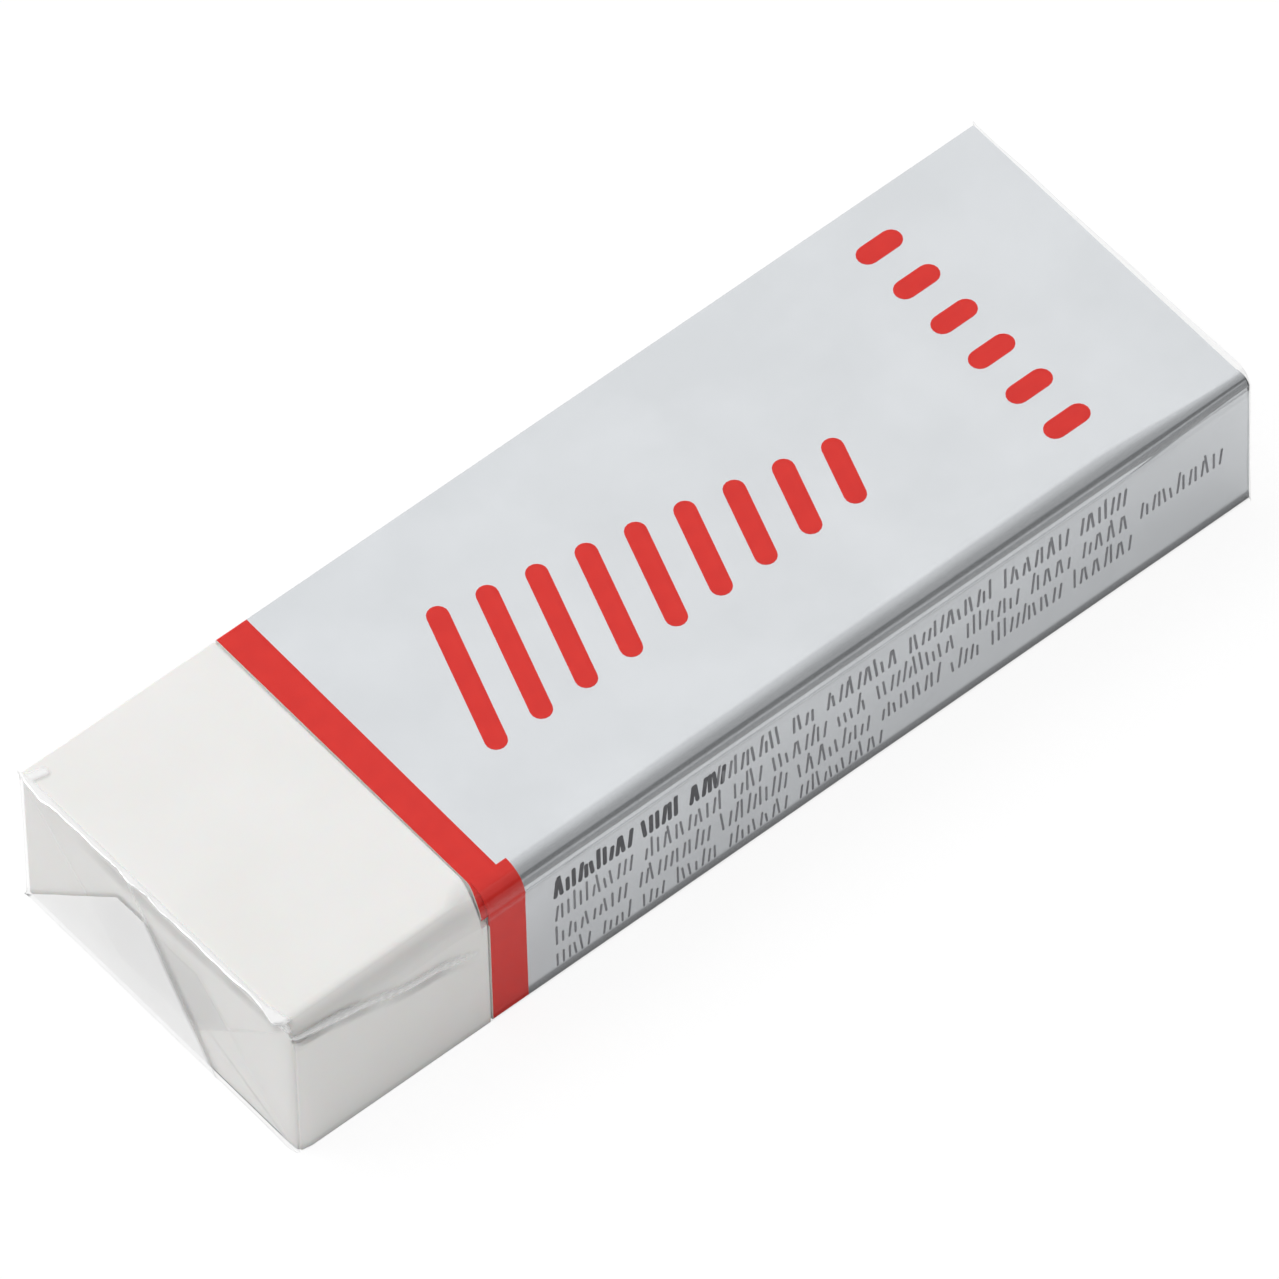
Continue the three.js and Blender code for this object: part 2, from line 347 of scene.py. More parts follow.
def soften_corner(x, y, z):
    """Turns the square corner between the near side and the bare end into a round one."""
    at_top = between(z, CORNER_TOP_START, FILM_RIDGE)
    radius = part_way(CORNER_RADIUS, CORNER_TOP_RADIUS, at_top)
    in_x = WRAP_LEFT + radius - x
    in_y = FILM_NEAR + radius - y
    if in_x <= 0 or in_y <= 0:
        return x, y
    closer = max(in_x, in_y) / hypot(in_x, in_y)
    return WRAP_LEFT + radius - in_x * closer, FILM_NEAR + radius - in_y * closer


def settled(point, edge_taken):
    """Where a point of the straight form lies on the real eraser."""
    x, y, z = point
    y, z = sharpen(ROUNDED_CORNER, edge_taken(x), y, z)
    for corner in SHARP_CORNERS:
        y, z = sharpen(corner, SHARP_CORNER_TAKEN, y, z)
    y = lean_bare_side(x, y, z)
    x, y = soften_corner(x, y, z)
    return x, y, max(0, z)


def make_piece(name, points, faces, finishes, face_finish=None, sharp=radians(35)):
    """A mesh piece in metres from points in millimetres."""
    mesh = bpy.data.meshes.new(name)
    mesh.from_pydata([[c * MM for c in point] for point in points], [], faces)
    for finish in finishes:
        mesh.materials.append(finish)
    if face_finish:
        mesh.polygons.foreach_set("material_index", face_finish)
    mesh.shade_smooth()
    mesh.set_sharp_from_angle(angle=sharp)
    mesh.update()
    return put(name, mesh)


def mark(piece, **marks):
    """Keeps values for each point of a film piece: its stress, which is how much it is
    whitened by creasing, its slack, which is how much more it shines for lying loose, and its
    shade, which is painted shade: how much less clear the film is made below the bead and the crooked
    crease, so that what lies behind it looks shaded."""
    for name, values in marks.items():
        kept = piece.data.attributes.new(name, "FLOAT", "POINT")
        kept.data.foreach_set("value", values)


def grid_shell(rows, columns, corner):
    """Points and faces of a closed sheet. `corner(row, column, outer)` gives its points. The
    faces of its two skins come first, in turn, and their number is given too."""
    points = []
    for outer in (0, 1):
        for row in range(rows):
            for column in range(columns):
                points.append(corner(row, column, outer))
    count = rows * columns
    at = lambda row, column: row * columns + column
    rim = lambda a, b: (a, b, b + count, a + count)
    faces = []
    for row in range(rows - 1):
        for column in range(columns - 1):
            inner = (at(row + 1, column), at(row + 1, column + 1), at(row, column + 1), at(row, column))
            faces.append(tuple(i + count for i in reversed(inner)))
            faces.append(inner)
    skin_faces = len(faces)
    for column in range(columns - 1):
        faces.append(rim(at(0, column), at(0, column + 1)))
        faces.append(rim(at(rows - 1, column + 1), at(rows - 1, column)))
    for row in range(rows - 1):
        faces.append(rim(at(row + 1, 0), at(row, 0)))
        faces.append(rim(at(row, columns - 1), at(row + 1, columns - 1)))
    return points, faces, skin_faces


def sheet_point(station, x, distance):
    return (x, station.y + distance * station.out_y, station.z + distance * station.out_z)


# Materials

def linear(hex_colour):
    """Linear colour for an sRGB hex value."""
    channels = [int(hex_colour[i:i + 2], 16) / 255 for i in (1, 3, 5)]
    turned = [c / 12.92 if c <= 0.04045 else ((c + 0.055) / 1.055) ** 2.4 for c in channels]
    return (*turned, 1)


def add(tree, kind, inputs=None, **settings):
    """Adds a node with its settings and what goes into it: a value, another node's socket, or
    another node, which means that node's first socket."""
    node = tree.nodes.new("ShaderNode" + kind)
    for setting, value in settings.items():
        setattr(node, setting, value)
    for socket, value in (inputs or {}).items():
        if isinstance(value, bpy.types.Node):
            value = value.outputs[0]
        if isinstance(value, bpy.types.NodeSocket):
            tree.links.new(value, node.inputs[socket])
        else:
            node.inputs[socket].default_value = value
    return node


def new_material(name):
    material = bpy.data.materials.new(name)
    material.use_nodes = True
    material.node_tree.nodes.clear()
    return material, material.node_tree


def painted(material, surface):
    add(material.node_tree, "OutputMaterial", {"Surface": surface})
    return material


def patches(tree, size, detail):
    """Random patches of about this size. The piece's own coordinates are in metres."""
    place = add(tree, "TexCoord").outputs["Object"]
    return add(tree, "TexNoise", {"Vector": place, "Scale": 1 / (size * MM), "Detail": detail})


def patchy_colour(tree, size, detail, low, high, contrast):
    """A colour that wanders between two tones, from patch to patch."""
    tones = add(tree, "ValToRGB", {"Fac": patches(tree, size, detail)})
    for end, tone, side in zip(tones.color_ramp.elements, (low, high), (-1, 1)):
        end.position = 0.5 + side * (1 - contrast) / 2
        end.color = linear(tone)
    return tones


def cut_vinyl():
    """Soft PVC, pressed in slabs and cut to size: dull, slightly warm white, with a faint
    uneven skin and a little light let in below the surface."""
    material, tree = new_material("white_vinyl")
    bump = add(tree, "Bump", {
        "Height": patches(tree, 0.35, 2), "Strength": 0.25, "Distance": 0.03 * MM,
    })
    shader = add(tree, "BsdfPrincipled", {
        "Base Color": patchy_colour(tree, 9, 3, "#f0efec", "#f4f3f1", 0.6), "Normal": bump,
        "Roughness": 0.62, "IOR": 1.52, "Specular IOR Level": 0.35,
        "Subsurface Weight": 0.15, "Subsurface Scale": 0.6 * MM,
    })
    return painted(material, shader)


def silver_print():
    """Silver ink rolled on smooth card: an even satin metal look with a fine grain."""
    material, tree = new_material("silver_print")
    grain = patches(tree, 0.2, 2)
    dullness = add(tree, "MapRange", {"Value": grain, "To Min": 0.13, "To Max": 0.23})
    shader = add(tree, "BsdfPrincipled", {
        "Base Color": patchy_colour(tree, 6, 4, "#d7dadd", "#dcdfe2", 0.7),
        "Roughness": dullness, "Metallic": 0.9,
    })
    return painted(material, shader)


def printing_ink(name, low, high):
    """Offset ink: a flat, even colour with a dull sheen and a faint mottle from the press."""
    material, tree = new_material(name)
    shader = add(tree, "BsdfPrincipled", {
        "Base Color": patchy_colour(tree, 0.8, 3, low, high, 0.7),
        "Roughness": 0.5, "Specular IOR Level": 0.1,
    })
    return painted(material, shader)


def bare_card():
    """White carton board: matt, with short fibres. It shows inside the sleeve and where cut."""
    material, tree = new_material("bare_card")
    colour = patchy_colour(tree, 0.25, 4, "#dcdad4", "#ebe9e4", 0.6)
    shader = add(tree, "BsdfPrincipled", {"Base Color": colour, "Roughness": 0.85})
    return painted(material, shader)


def dried_glue():
    """White dispersion glue, dried: pale, satin and a little uneven."""
    material, tree = new_material("dried_glue")
    colour = patchy_colour(tree, 1.5, 2, "#e2dcc4", "#eee9d6", 0.6)
    shader = add(tree, "BsdfPrincipled", {"Base Color": colour, "Roughness": 0.45})
    return painted(material, shader)


PLAIN_SHINE = 0.027  # what the film mirrors where it is seen straight on
GRAZING_SHINE = 0.5  # and what more where it is seen edge on
GRAZING_POWER = 5
STRESS_WHITE = 0.8
LET_THROUGH = 0.15  # how much of its whiteness is lit from behind


def clear_film(name, haze, clearness=1):
    """Polypropylene film: clear and glossy, with a slight haze, and white along its creases."""
    material, tree = new_material(name)
    facing = add(tree, "LayerWeight", {"Blend": 0.5}).outputs["Facing"]
    grazing = add(tree, "Math", {0: facing, 1: GRAZING_POWER}, operation="POWER")
    mirror = add(tree, "Math", {0: grazing, 1: GRAZING_SHINE, 2: PLAIN_SHINE}, operation="MULTIPLY_ADD")
    slack, stress, shade = (
        add(tree, "Attribute", attribute_name=name).outputs["Fac"]
        for name in ("slack", "stress", "shade")
    )
    mirror = add(tree, "Math", {0: mirror, 1: slack}, operation="ADD")
    inside = add(tree, "NewGeometry").outputs["Backfacing"]
    outside = add(tree, "Math", {0: 1, 1: inside}, operation="SUBTRACT")
    mirror = add(tree, "Math", {0: mirror, 1: outside}, operation="MULTIPLY")
    milk = add(tree, "Math", {0: stress, 1: STRESS_WHITE, 2: haze}, operation="MULTIPLY_ADD")
    # Painted shade: the shade mark makes the film less clear, darkening what lies behind it
    passed = add(tree, "Math", {0: shade, 1: -clearness, 2: clearness}, operation="MULTIPLY_ADD")
    clear = add(tree, "BsdfTransparent", {"Color": passed})
    front = add(tree, "BsdfDiffuse", {"Color": linear("#fefefe")})
    through = add(tree, "BsdfTranslucent", {"Color": linear("#fefefe")})
    white = add(tree, "MixShader", {"Fac": LET_THROUGH, 1: front, 2: through})
    body = add(tree, "MixShader", {"Fac": milk, 1: clear, 2: white})
    gloss = add(tree, "BsdfGlossy", {"Color": (1, 1, 1, 1), "Roughness": 0.06})
    film = add(tree, "MixShader", {"Fac": mirror, 1: body, 2: gloss})
    return painted(material, film)


VINYL = cut_vinyl()
SILVER = silver_print()
RED = printing_ink("red_ink", "#dc2118", "#e2271d")
DARK_INK = printing_ink("dark_grey_ink", "#48494d", "#535458")
PALE_INK = printing_ink("pale_grey_ink", "#7c7d81", "#88898d")
CARD = bare_card()
GLUE = dried_glue()
FILM = clear_film("clear_film", 0)
# The film over its own lap is made a little less clear: a faint painted shade along the lap
LAP_SHADE_FILM = clear_film("lap_shade_film", 0, 0.985)
FOLDED_FILM = clear_film("folded_film", 0.03, 0.99)


# Vinyl block

BLOCK_END_RADIUS = 0.25
BLOCK_END_STEPS = 6
BLOCK_END_SHARES = (0.25, 0.5, 0.75, 0.88, 0.93, 0.97)  # sizes of the rings on its end faces
BLOCK_SPACING = 1.0
BLOCK_ENDS_OUT = 0.14  # the vinyl fills the film right up to its folds
VINYL_ROOM = 0.03
VINYL_UNEVENNESS = 0.02
VINYL_SUNK = 0.6  # of it, so that the skin stays inside the film
UNEVENNESS_LENGTH = 6

CARD_LEFT = CARD_INNER_LEFT + CARD_SKEW
TOP_END_SKEW = 0.1  # the card's open end on top, from far to near
INNER_END_CURL = 0.3  # and down the rounded edge
FILL_FADE = (0.2, 0.02)  # from the card's open end: where the vinyl narrows to go into it
RING_SPACING = 0.72
FINE_RING_SPACING = 0.06
FINE_RINGS_BEFORE = 0.25  # from the card's open end to the first of the fine rings
RING_ROOM = 0.1


def film_lift(station):
    """How far the film stands off the block for the card's lap, taut across the top."""
    if station.out_y < -MOSTLY:
        return CARD_LAP_LIFT
    if station.out_z > MOSTLY:
        return CARD_LAP_LIFT * (FAR_TOP.y - station.y) / (FAR_TOP.y - NEAR_TOP.y)
    return 0


def sleeve_lift(station):
    """How far the card stands off the block, on the near side below its inner edge."""
    below_edge = station.out_y < -MOSTLY and station.z < NEAR_TOP.z - CARD_LAP_DROP
    return CARD_SIDE_LIFT if below_edge else 0


def inner_end(station):
    """Where the card's inner layer starts, on top and round the rounded edge."""
    curl = INNER_END_CURL * between(-station.out_y, 0, 1)
    return CARD_LEFT - TOP_END_SKEW * across_top(station) - curl


def filled(x, station):
    """1 where the vinyl fills the film, and 0 where it is inside the sleeve."""
    end = inner_end(station) if station.out_z > 0.01 else CARD_LEFT
    return 1 - between(x, *(end - before for before in FILL_FADE))


def block_rings(left, right):
    """Places of the block's rings between its ends, close together by the card's open end."""
    count = round((right - left) / RING_SPACING)
    plain = [left + (right - left) * i / count for i in range(1, count)]
    first = CARD_LEFT - TOP_END_SKEW - INNER_END_CURL - FINE_RINGS_BEFORE
    steps = round((CARD_LEFT - first) / FINE_RING_SPACING)
    fine = [first + FINE_RING_SPACING * i for i in range(steps + 1)]
    return sorted([x for x in plain if x < fine[0] - RING_ROOM or x > fine[-1] + RING_ROOM] + fine)


def vinyl_block():
    """Rings of the block's outline from end to end, with its end edges rounded off."""
    closed_outline = block_outline() + block_outline()[:1]
    outline = fill_gaps(closed_outline, lambda before, after: BLOCK_SPACING)[:-1]
    centre_y = (BLOCK_NEAR + BLOCK_FAR) / 2
    centre_z = (BLOCK_BOTTOM + BLOCK_TOP) / 2
    end_rings = [(0, 0, share) for share in BLOCK_END_SHARES]
    for inset, depth in round_off(BLOCK_END_RADIUS, 0, QUARTER_TURN, BLOCK_END_STEPS):
        end_rings.append((depth, inset, 1))
    left = BLOCK_LEFT - BLOCK_ENDS_OUT
    right = BLOCK_RIGHT + BLOCK_ENDS_OUT
    rings = [
        *((left + depth, inset, share) for depth, inset, share in end_rings),
        *((x, 0, 1) for x in block_rings(left + BLOCK_END_RADIUS, right - BLOCK_END_RADIUS)),
        *((right - depth, inset, share) for depth, inset, share in reversed(end_rings)),
    ]
    points = []
    for x, inset, share in rings:
        for station in outline:
            in_film = FILM_OFFSET + film_lift(station)
            in_sleeve = CARD_OFFSET + sleeve_lift(station)
            bare = filled(x, station)
            out = bare * in_film + (1 - bare) * in_sleeve - VINYL_ROOM - inset
            _, y, z = sheet_point(station, x, out)
            point = Vector((x, part_way(centre_y, y, share), part_way(centre_z, z, share)))
            uneven = VINYL_UNEVENNESS * (noise.noise(point / UNEVENNESS_LENGTH) - VINYL_SUNK)
            y = point.y + uneven * station.out_y
            z = point.z + uneven * station.out_z
            points.append(settled((point.x, y, z), vinyl_edge_taken))
    count = len(outline)
    last = (len(rings) - 1) * count
    faces = [tuple(range(count))]
    for ring in range(0, last, count):
        for i in range(count):
            a, b = ring + i, ring + (i + 1) % count
            faces.append((b, a, a + count, b + count))
    faces.append(tuple(last + i for i in reversed(range(count))))
    block = make_piece("vinyl_block", points, faces, [VINYL], sharp=radians(60))
    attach(block, "block")
    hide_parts("eraser_block")


# Card sleeve, printed silver with a red band round its open end

CARD_LENGTH = CARD_RIGHT - CARD_LEFT
CARD_SPACING = 0.8
CARD_END_OUT = 0.32  # how far the real card's end lies beyond the source's
CARD_END_SHORT = 0.08  # how far it falls short of that on top, by the rounded edge
CARD_SIDE_END_OUT = 0.08

LAP_EDGE_PRESSED = 1.2  # how wide a strip of the lap is pressed down by its edge
LAP_EDGE_SUNK = 0.06
LAP_EDGE_THINNED = 0.6

CARD_UNEVENNESS = 0.006
CARD_SIDE_UNEVENNESS = 0.012  # what more on its near side
SCORE_RUN = 0.15  # from the foot of the rounded edge up to the card's score line
SCORE_HALF_WIDTH = 0.13
SCORE_HEIGHT = 0.055
SCORE_WANDER = 0.05

BAND_WIDTH = 2.4
BAND_ON_TOP = 2.05  # its width at the far side of the top
BAND_SKEW = 0.3  # what it gets narrower by across the top
BAND_CELLS = 4


def card_end(station):
    """Where the card ends at its right, which isn't cut quite square."""
    short = CARD_END_SHORT * across_top(station) * max(0, station.out_z)
    return CARD_RIGHT + CARD_END_OUT - short + CARD_SIDE_END_OUT * max(0, -station.out_y)


def card_relief(x, run):
    """How far the card's skin lies above or below its true surface."""
    side = within(-run, (0, 1), (NEAR_TOP.z - 1, NEAR_TOP.z))
    return (CARD_UNEVENNESS + CARD_SIDE_UNEVENNESS * side) * drift(3, x, 5, run, 3)


def score_bead(x, run):
    """The slight bead along the line that the card is scored and bent on."""
    off_line = abs(run - SCORE_RUN - SCORE_WANDER * drift(1, x, 9)) / SCORE_HALF_WIDTH
    height = SCORE_HEIGHT * (0.8 + 0.5 * drift(2, x, 3))
    return height * (1 - between(off_line, 0, 1))


def card_columns():
    """Shares of the way across the band, and then along the silver."""
    plain = round(CARD_LENGTH / CARD_SPACING)
    band = [i / BAND_CELLS for i in range(BAND_CELLS + 1)]
    return band + [i / plain for i in range(1, plain + 1)]


def open_end_edges(stations):
    """Where the card and then its silver start at each station. The sheet's inner end lies on
    top, cut and printed slightly out of line with the outer one."""
    edges = []
    on_inner_end = True
    for station in stations:
        on_inner_end = on_inner_end and station.out_y < MOSTLY
        if on_inner_end:
            silver = CARD_LEFT + BAND_ON_TOP - BAND_SKEW * across_top(station)
            edges.append((inner_end(station), silver))
            continue
        down = 1
        if station.out_y > MOSTLY:
            down = (BLOCK_TOP - station.z) / (BLOCK_TOP - BLOCK_BOTTOM)
        edges.append((CARD_LEFT, CARD_LEFT + part_way(BAND_ON_TOP, BAND_WIDTH, down)))
    return edges


def card_sleeve():
    stations = lapped_stations(
        CARD_LAP_DROP, CARD_LAP_STOP, 0, CARD_LAP_LIFT, CARD_SIDE_LIFT, CARD_JOGGLE, CARD_SPACING,
    )
    edges = open_end_edges(stations)
    columns = card_columns()
    second_half = range(len(stations) // 2, len(stations) - 1)
    pressing = [0] * len(stations)
    for row in (*second_half, len(stations) - 1):
        to_edge = stations[-1].run - stations[row].run
        if stations[row].lift > 0 and to_edge < LAP_EDGE_PRESSED:
            pressing[row] = 1 - to_edge / LAP_EDGE_PRESSED

    def corner(row, column, outer):
        station = stations[row]
        left, silver_left = edges[row]
        if column <= BAND_CELLS:
            x = part_way(left, silver_left, columns[column])
        else:
            x = part_way(silver_left, card_end(station), columns[column])
        relief = card_relief(x, station.run) + score_bead(x, station.run)
        thickness = CARD_THICKNESS * (1 - LAP_EDGE_THINNED * pressing[row])
        sunk = LAP_EDGE_SUNK * pressing[row]
        distance = CARD_OFFSET + station.lift - sunk + outer * thickness + relief
        return settled(sheet_point(station, x, distance), sleeve_edge_taken)

    points, faces, skin = grid_shell(len(stations), len(columns), corner)
    cells = len(columns) - 1
    silver, red, bare = range(3)
    finish = [red if (i // 2) % cells < BAND_CELLS else silver for i in range(skin)]
    finish = [bare if i % 2 else outside for i, outside in enumerate(finish)]
    finish += [bare] * (len(faces) - skin)
    open_rim = skin + 2 * cells
    for row in second_half:
        if stations[row].lift > CARD_SIDE_LIFT:
            finish[open_rim + 2 * row] = red
    sleeve = make_piece("printed_sleeve", points, faces, [SILVER, RED, CARD], finish)
    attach(sleeve, "sleeve")
    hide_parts("card_sleeve")


# Printing that stands on the card as a thin layer of ink

TOP_FACE = BLOCK_TOP + CARD_OFFSET + CARD_THICKNESS
NEAR_FACE = BLOCK_NEAR - CARD_OFFSET - CARD_SIDE_LIFT - CARD_THICKNESS
ROUNDED_EDGE_RUN = ROUNDED_EDGE_RADIUS * QUARTER_TURN
INK_THICKNESS = 0.012
INK_SINK = 0.01


def ink_layer(name, outlines, place, finish):
    """Flat shapes of ink. `place` puts a point of a shape at a height over the card."""
    points = []
    faces = []
    for outline in outlines:
        first = len(points)
        count = len(outline)
        points += [place(u, v, -INK_SINK) for u, v in outline]
        points += [place(u, v, INK_THICKNESS) for u, v in outline]
        faces.append(tuple(first + i for i in reversed(range(count))))
        faces.append(tuple(first + count + i for i in range(count)))
        for i in range(count):
            j = (i + 1) % count
            faces.append((first + i, first + j, first + count + j, first + count + i))
    ink = make_piece(name, points, faces, [finish])
    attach(ink, "sleeve")


def rounded_stroke(start, end, width, steps=8):
    """Outline of a straight stroke with round ends."""
    turn = atan2(end[1] - start[1], end[0] - start[0])
    points = []
    for centre, first in ((start, turn + QUARTER_TURN), (end, turn - QUARTER_TURN)):
        for angle in even_steps(first, first + HALF_TURN, steps):
            points.append((centre[0] + width / 2 * cos(angle), centre[1] + width / 2 * sin(angle)))
    return points


def on_top(u, v, height):
    run = ROUNDED_EDGE_RUN + v - NEAR_TOP.y
    return (u, v, TOP_FACE + card_relief(u, run) + height)


def on_near_side(u, v, height):
    return (u, NEAR_FACE - card_relief(u, v - NEAR_TOP.z) - height, v)


STROKE_COUNT = 9
STROKES_LEFT = -12.5
STROKES_RIGHT = 12
STROKES_LOW = -3.4
STROKE_LENGTH = 8.2
STROKE_SHORTENING = 0.62  # the share of it that the last one lacks
STROKE_WIDTH = 1.25
STROKE_LEAN = 0.35

MARK_COUNT = 6
MARKS_X = 23.5
MARKS_NEAR = -7
MARKS_FAR = 8.2
MARK_HALF_LENGTH = 0.8
MARK_WIDTH = 1.3


def red_strokes():
    outlines = []
    for i in range(STROKE_COUNT):
        share = i / (STROKE_COUNT - 1)
        height = STROKE_LENGTH * (1 - STROKE_SHORTENING * share)
        x = part_way(STROKES_LEFT, STROKES_RIGHT, share)
        outlines.append(rounded_stroke(
            (x, STROKES_LOW), (x + STROKE_LEAN * height, STROKES_LOW + height), STROKE_WIDTH,
        ))
    return outlines


def red_marks():
    outlines = []
    for i in range(MARK_COUNT):
        y = MARKS_NEAR + (MARKS_FAR - MARKS_NEAR) * i / (MARK_COUNT - 1)
        ends = (MARKS_X - MARK_HALF_LENGTH, y), (MARKS_X + MARK_HALF_LENGTH, y)
        outlines.append(rounded_stroke(*ends, MARK_WIDTH))
    return outlines


Row = namedtuple("Row", "foot height width left right")
BOLD_ROWS = (Row(7.0, 1.3, 0.27, -15, -1.5),)
FINE_ROWS = (
    Row(7.0, 1.25, 0.16, -4, 26), Row(4.9, 1.15, 0.14, -15, 31),
    Row(2.85, 1.1, 0.14, -15, 24), Row(1.0, 0.95, 0.13, -15, 8),
)
ROW_END_ROOM = 3
TICK_GROUPS = (4, 16)  # the fewest and the most ticks in one
TICK_PITCH = 0.42
GROUP_GAP = 1.5  # in ticks
TICK_LEAN = 0.12
TICK_HEIGHTS = (1, 1, 1, 0.7, 1.35)  # of its row's


def tick_rows(rows, seed):
    """Rows of short upright ticks in groups, where the small print is."""
    draw = Random(seed)
    outlines = []
    for row in rows:
        x = row.left
        while x < row.right - ROW_END_ROOM:
            for _ in range(draw.randint(*TICK_GROUPS)):
                height = row.height * draw.choice(TICK_HEIGHTS)
                lean = TICK_LEAN * draw.choice((-1, 0, 1, 1)) * height
                outlines.append(rounded_stroke(
                    (x, row.foot), (x + lean, row.foot + height), row.width, 4,
                ))
                x += TICK_PITCH
            x += GROUP_GAP * TICK_PITCH
    return outlines


# Clear film round the four long sides

FILM_SPACING = 0.6
FINE_SPACING = 0.12  # along the film by its ends
FINE_COLUMNS = 13
FINE_STATION_SPACING = 0.07  # across the film's small creases
CREASE_RADIUS = 0.2
CREASE_STEPS = 4
LAYER_PITCH = 0.04  # from one folded layer to the next
TUBE_INSET = 0.03  # from the outermost fold to the tube's own turned ends
RIPPLE = 0.016

# The crooked bead along the film's upper crease at the bare end. Places are from the far side.
BEAD_UP = 0.12
BEAD_OUT = 0.12
BEAD_LENGTH_BELOW = 0.45
BEAD_ON_TOP = (0.1, 0.34)  # from the end: where its white begins to fade, and where it is gone
BEAD_GATHERS = ((2.3, 0.9), (20.2, 0.8))  # where it is thicker, and how far
BEAD_START = (0.2, 1)
BEAD_END = (21.2, 22.0)

# Short folds that stand up from the film's top: from its left end and from its far side
EARS = (((0.35, 0.9), (1.1, 1.05)), ((0.15, 19.6), (0.4, 20.9)))
EAR_HALF_WIDTH = 0.36
EAR_HEIGHT = 0.06
EAR_ROOM = 0.4
GATHERED_SHINE = 0.5

# The crooked crease along the bare vinyl's near side, with a patchy painted shade below it, where the
# film is made less clear
CREASE_ZONE = (-3.2, 0.9)  # from the foot of the rounded edge
CREASE_LINE_HALF_WIDTH = 0.28
CREASE_LINE_HEIGHT = 0.13
CREASE_WANDER = 0.25
CREASE_SHADE = 0.13
CREASE_SHADE_START = (0.15, 0.3)
CREASE_SHADE_END = (0.5, 0.7)
SHADE_PATCH = (-0.3, 0.3)

OTHER_CREASES = 0.08  # how white they are, where the bead's is 1
TOP_CREASE_DEPTH = 0.3  # from the block's top down, where the upper crease is


def film_columns(bead=0):
    """Places along the film's tube, each with how far it is turned in there."""
    left, right = WRAP_LEFT + TUBE_INSET, WRAP_RIGHT - TUBE_INSET
    end = round_off(CREASE_RADIUS, EIGHTH_TURN, 0, CREASE_STEPS, bead)
    end += [(CREASE_RADIUS + FINE_SPACING * i, 0) for i in range(1, FINE_COLUMNS + 1)]
    fine = end[-1][0]
    inner = right - left - 2 * fine
    plain = round(inner / FILM_SPACING)
    return [
        *((left + inward, down) for inward, down in end),
        *((left + fine + inner * i / plain, 0) for i in range(1, plain)),
        *((right - inward, down) for inward, down in reversed(end)),
    ]


def bead_strength(y):
    from_far = FILM_FAR - y
    uneven = 0.75 + 0.9 * drift(9, y, 1.3)
    gathered = max(1 - between(abs(from_far - place), 0, half) for place, half in BEAD_GATHERS)
    return max(0, uneven + gathered) * within(from_far, BEAD_START, BEAD_END)


def ear(x, y):
    """1 on the ridge of a short fold, and 0 beside it."""
    place = Vector((x - WRAP_LEFT, FILM_FAR - y))
    nearest = EAR_HALF_WIDTH
    for start, end in EARS:
        start, end = Vector(start), Vector(end)
        share = (place - start).dot(end - start) / (end - start).length_squared
        on_line = start + (end - start) * min(1, max(0, share))
        nearest = min(nearest, (place - on_line).length)
    return 1 - between(nearest, 0, EAR_HALF_WIDTH)


def film_ripple(x, station):
    """How far the film stands off more or less than it does on average."""
    ripple = RIPPLE * drift(8, x, 7, station.run, 3)
    return -abs(ripple) if station.out_z < -MOSTLY else ripple


def above_crease(x, run):
    """How far a place on the near side lies above the crooked crease there."""
    return run - (crease_height(x) - NEAR_TOP.z) - CREASE_WANDER * drift(4, x, 3)


def crease_line(x, run):
    """The crooked crease along the bare vinyl, near where the film laps over itself."""
    strength = 0.75 + 0.6 * drift(6, x, 2)
    on_line = 1 - between(abs(above_crease(x, run)) / CREASE_LINE_HALF_WIDTH, 0, 1)
    return strength * on_line * bareness(x)


# Painted shade: a patchy dark line just below the crooked crease
def crease_shade(x, run):
    band = within(-above_crease(x, run), CREASE_SHADE_START, CREASE_SHADE_END)
    return CREASE_SHADE * band * between(drift(12, x, 2.5), *SHADE_PATCH) * bareness(x)


def tube_stress(x, y, z, station):
    """White along the bead, the ears and the crooked crease, and a little at other creases."""
    at_end = 1 - between(min(x - WRAP_LEFT, WRAP_RIGHT - x), 0, CREASE_RADIUS)
    white = at_end * OTHER_CREASES
    if x < 0 and z > BLOCK_TOP - TOP_CREASE_DEPTH:
        white = 1 - between(x - WRAP_LEFT, *BEAD_ON_TOP)
    on_ear = ear(x, y) if on_flat_top(station) else 0
    return max(white, on_ear, crease_line(x, station.run))


def tube_slack(x, y, station):
    """More shine on the bead and the ears."""
    if x > 0 or not on_flat_top(station):
        return 0
    on_bead = 1 - between(x - WRAP_LEFT, *BEAD_ON_TOP)
    return GATHERED_SHINE * max(on_bead * min(1, bead_strength(y)), ear(x, y))


def is_finely_creased(station):
    if station.out_y < -ON_FLAT:
        return CREASE_ZONE[0] < station.run < CREASE_ZONE[1]
    from_far = FILM_FAR - station.y
    by_ear = any(start[1] - EAR_ROOM < from_far < end[1] + EAR_ROOM for start, end in EARS)
    return by_ear and on_flat_top(station)


def spacing_at_creases(before, after):
    creased = is_finely_creased(before) or is_finely_creased(after)
    return FINE_STATION_SPACING if creased else inf


